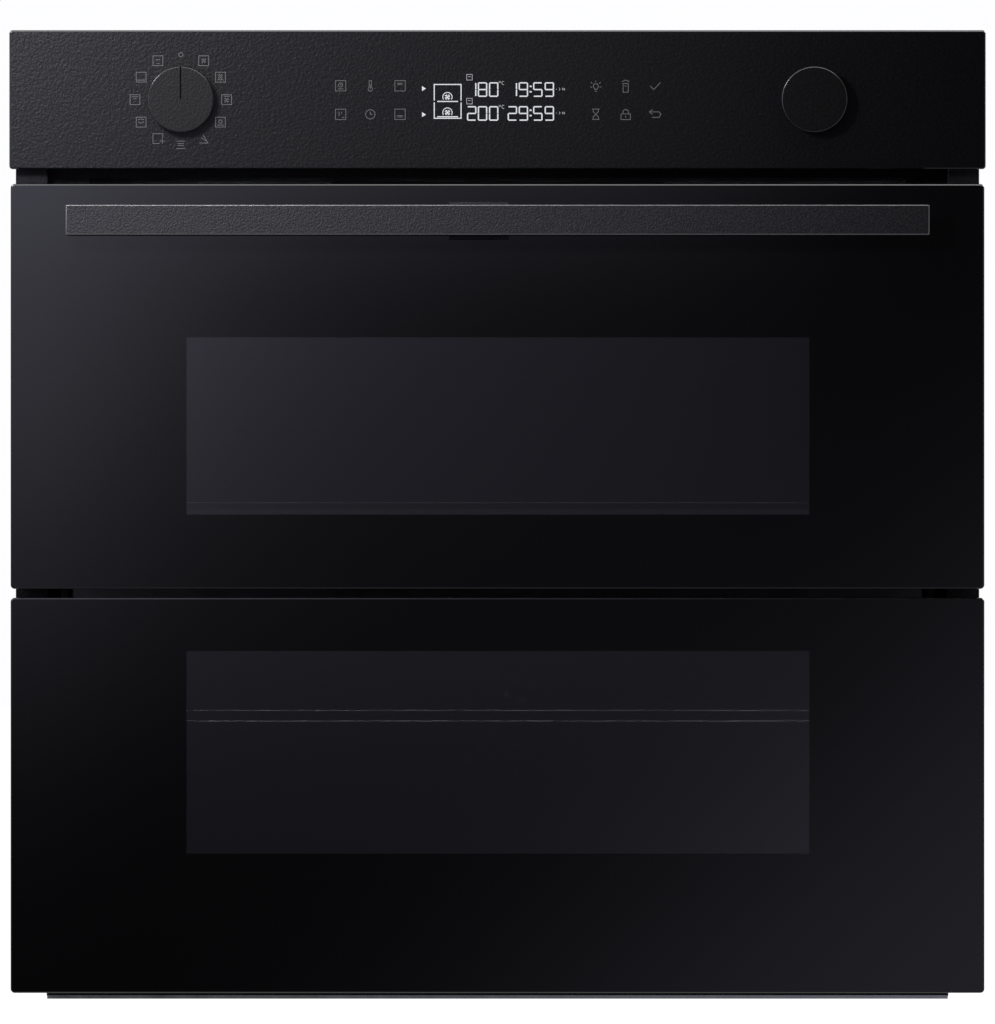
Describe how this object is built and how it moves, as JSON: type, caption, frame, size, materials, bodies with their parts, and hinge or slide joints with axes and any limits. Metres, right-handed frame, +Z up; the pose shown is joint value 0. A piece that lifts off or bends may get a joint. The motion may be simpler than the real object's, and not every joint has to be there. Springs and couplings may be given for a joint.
{
  "type": "wall oven",
  "caption": "Built-in oven with a black glass front, two knobs and a display, a bar handle and a split door: the upper part or the whole door folds down.",
  "frame": {"origin": "the middle of the underside of the whole object's box, on the plane of the cabinet shelf that the oven stands on", "axes": "+X to the right as the user faces the oven, +Y back into the cabinet, +Z up"},
  "size_m": [0.595, 0.61, 0.5917],
  "materials": {
    "galvanised_sheet": "spangled zinc, matt",
    "zinc_plated_steel": "zinc plated, satin",
    "dark_frame_coat": "fine textured dark grey powder coat",
    "cavity_enamel": "dark grey vitreous enamel, glossy",
    "tray_enamel": "black vitreous enamel",
    "glass_wool": "fibrous wool",
    "black_seal": "matt",
    "motor_steel": "laminated steel, matt",
    "heater_tube": "oxidised alloy tube",
    "clear_glass": "clear",
    "coated_glass": "heat-reflecting, neutral grey",
    "black_glass": "printed black behind, polished",
    "pale_ceramic": "matt",
    "bright_steel": "satin",
    "chromed_wire": "bright",
    "circuit_board": "solder resist",
    "black_plastic": "fine spark texture",
    "dark_anodised": "dark anodised, fine sandy grain"
  },
  "bodies": {
    "chassis": {"base_pan": "galvanised_sheet", "side_panel_left": "galvanised_sheet", "side_panel_right": "galvanised_sheet", "rear_panel": "galvanised_sheet", "top_cover": "galvanised_sheet", "casing_screws": "zinc_plated_steel", "front_frame": "dark_frame_coat", "cavity_liner": "cavity_enamel", "insulation_blanket": "glass_wool", "cavity_gasket": "black_seal", "divider_plate": "cavity_enamel", "divider_seal": "black_seal", "fan_covers": "cavity_enamel", "fan_motors": "motor_steel", "ring_heaters": "heater_tube", "grill_element": "heater_tube", "floor_element": "heater_tube", "lamp_cover": "clear_glass", "lamp_holder": "pale_ceramic", "lamp_bulb": "clear_glass", "temperature_sensor": "bright_steel", "side_racks": "chromed_wire", "exhaust_flue": "galvanised_sheet", "air_duct": "galvanised_sheet", "blower_housing": "galvanised_sheet", "blower_motor": "motor_steel", "power_board": "circuit_board", "terminal_block": "pale_ceramic", "cable_gland": "black_seal", "panel_glass": "black_glass", "panel_carrier": "black_plastic", "display_board": "circuit_board", "knob_encoders": "black_plastic", "lower_hinges": "zinc_plated_steel", "hinge_springs": "bright_steel"},
    "lower_door": {"lower_outer_glass": "black_glass", "lower_middle_glass": "coated_glass", "lower_inner_glass": "coated_glass", "lower_stiles": "dark_frame_coat", "lower_top_rail": "dark_frame_coat", "lower_bottom_rail": "dark_frame_coat", "mid_hinges": "zinc_plated_steel"},
    "upper_door": {"upper_outer_glass": "black_glass", "upper_middle_glass": "coated_glass", "upper_inner_glass": "coated_glass", "upper_stiles": "dark_frame_coat", "upper_top_rail": "dark_frame_coat", "upper_bottom_rail": "dark_frame_coat", "handle_bar": "dark_anodised", "handle_posts": "dark_anodised", "handle_screws": "zinc_plated_steel", "door_locks": "zinc_plated_steel"},
    "lever": {"handle_lever": "dark_anodised"},
    "mode_dial": {"mode_knob": "dark_anodised"},
    "value_dial": {"value_knob": "dark_anodised"},
    "upper_fan_wheel": {"upper_fan": "bright_steel"},
    "lower_fan_wheel": {"lower_fan": "bright_steel"},
    "blower_wheel": {"blower_rotor": "bright_steel"},
    "tray": {"baking_tray": "tray_enamel"},
    "rack": {"wire_rack": "chromed_wire"}
  },
  "joints": [
    {"name": "whole_door_hinge", "type": "hinge", "parent": "chassis", "child": "lower_door", "pos_m": [0, -0.256, 0.014], "axis": [1, 0, 0], "range_deg": [0, 90], "stiffness_Nm_per_rad": 13, "springref_deg": -14.32},
    {"name": "upper_door_hinge", "type": "hinge", "parent": "lower_door", "child": "upper_door", "pos_m": [0, -0.256, 0.2592], "axis": [1, 0, 0], "range_deg": [0, 90], "stiffness_Nm_per_rad": 3.1, "springref_deg": -14.32},
    {"name": "lever_slide", "type": "slide", "parent": "upper_door", "child": "lever", "axis": [0, -1, 0], "range_m": [0, 0.004], "stiffness_N_per_m": 400, "springref_m": -0.002},
    {"name": "mode_dial_turn", "type": "hinge", "parent": "chassis", "child": "mode_dial", "pos_m": [-0.193, -0.265, 0.54935], "axis": [0, 1, 0], "continuous": true},
    {"name": "value_dial_turn", "type": "hinge", "parent": "chassis", "child": "value_dial", "pos_m": [0.193, -0.265, 0.54935], "axis": [0, 1, 0], "continuous": true},
    {"name": "upper_fan_spin", "type": "hinge", "parent": "chassis", "child": "upper_fan_wheel", "pos_m": [0, 0.196, 0.344], "axis": [0, 1, 0], "continuous": true},
    {"name": "lower_fan_spin", "type": "hinge", "parent": "chassis", "child": "lower_fan_wheel", "pos_m": [0, 0.196, 0.1545], "axis": [0, 1, 0], "continuous": true},
    {"name": "blower_spin", "type": "hinge", "parent": "chassis", "child": "blower_wheel", "pos_m": [0, 0.132, 0.512], "axis": [1, 0, 0], "continuous": true},
    {"name": "tray_slide", "type": "slide", "parent": "chassis", "child": "tray", "axis": [0, -1, 0], "range_m": [0, 0.25]},
    {"name": "rack_slide", "type": "slide", "parent": "chassis", "child": "rack", "axis": [0, -1, 0], "range_m": [0, 0.25]}
  ],
  "couplings": [
    {"joint": "tray_slide", "follows": "whole_door_hinge", "m_per_rad": 0.159},
    {"joint": "rack_slide", "follows": "whole_door_hinge", "m_per_rad": 0.159}
  ]
}
